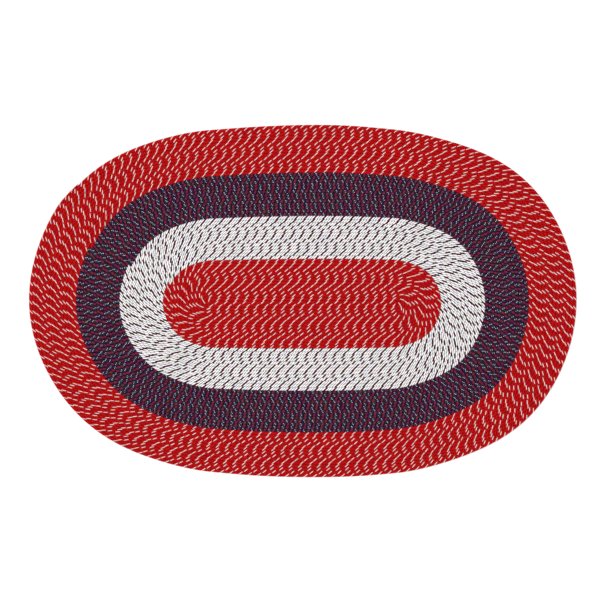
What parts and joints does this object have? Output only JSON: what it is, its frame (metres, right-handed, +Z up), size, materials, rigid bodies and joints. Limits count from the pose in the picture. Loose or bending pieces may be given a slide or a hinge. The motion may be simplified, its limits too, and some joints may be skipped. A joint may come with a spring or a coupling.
{
  "type": "braided rug",
  "caption": "Oval rug of a long braid wound edge to edge in a flat coil, in bands of red, white, navy and red from the middle to the rim.",
  "frame": {"origin": "middle of the oval's bounding box, at floor level on the flat underside", "axes": "+X along the rug's length, +Y towards the long side at the top of the picture, +Z up through the ridged top face"},
  "size_m": [1.6732, 1.0764, 0.0095],
  "materials": {
    "centre_red_braid": "matt red braid with a white accent yarn",
    "white_braid": "matt white braid with a dark maroon accent yarn",
    "navy_braid": "matt navy braid with a pale and a burgundy accent yarn",
    "outer_red_braid": "matt red braid with a white accent yarn"
  },
  "bodies": {
    "root": {"centre_red_braid": "centre_red_braid", "white_braid": "white_braid", "navy_braid": "navy_braid", "outer_red_braid": "outer_red_braid"}
  },
  "joints": []
}
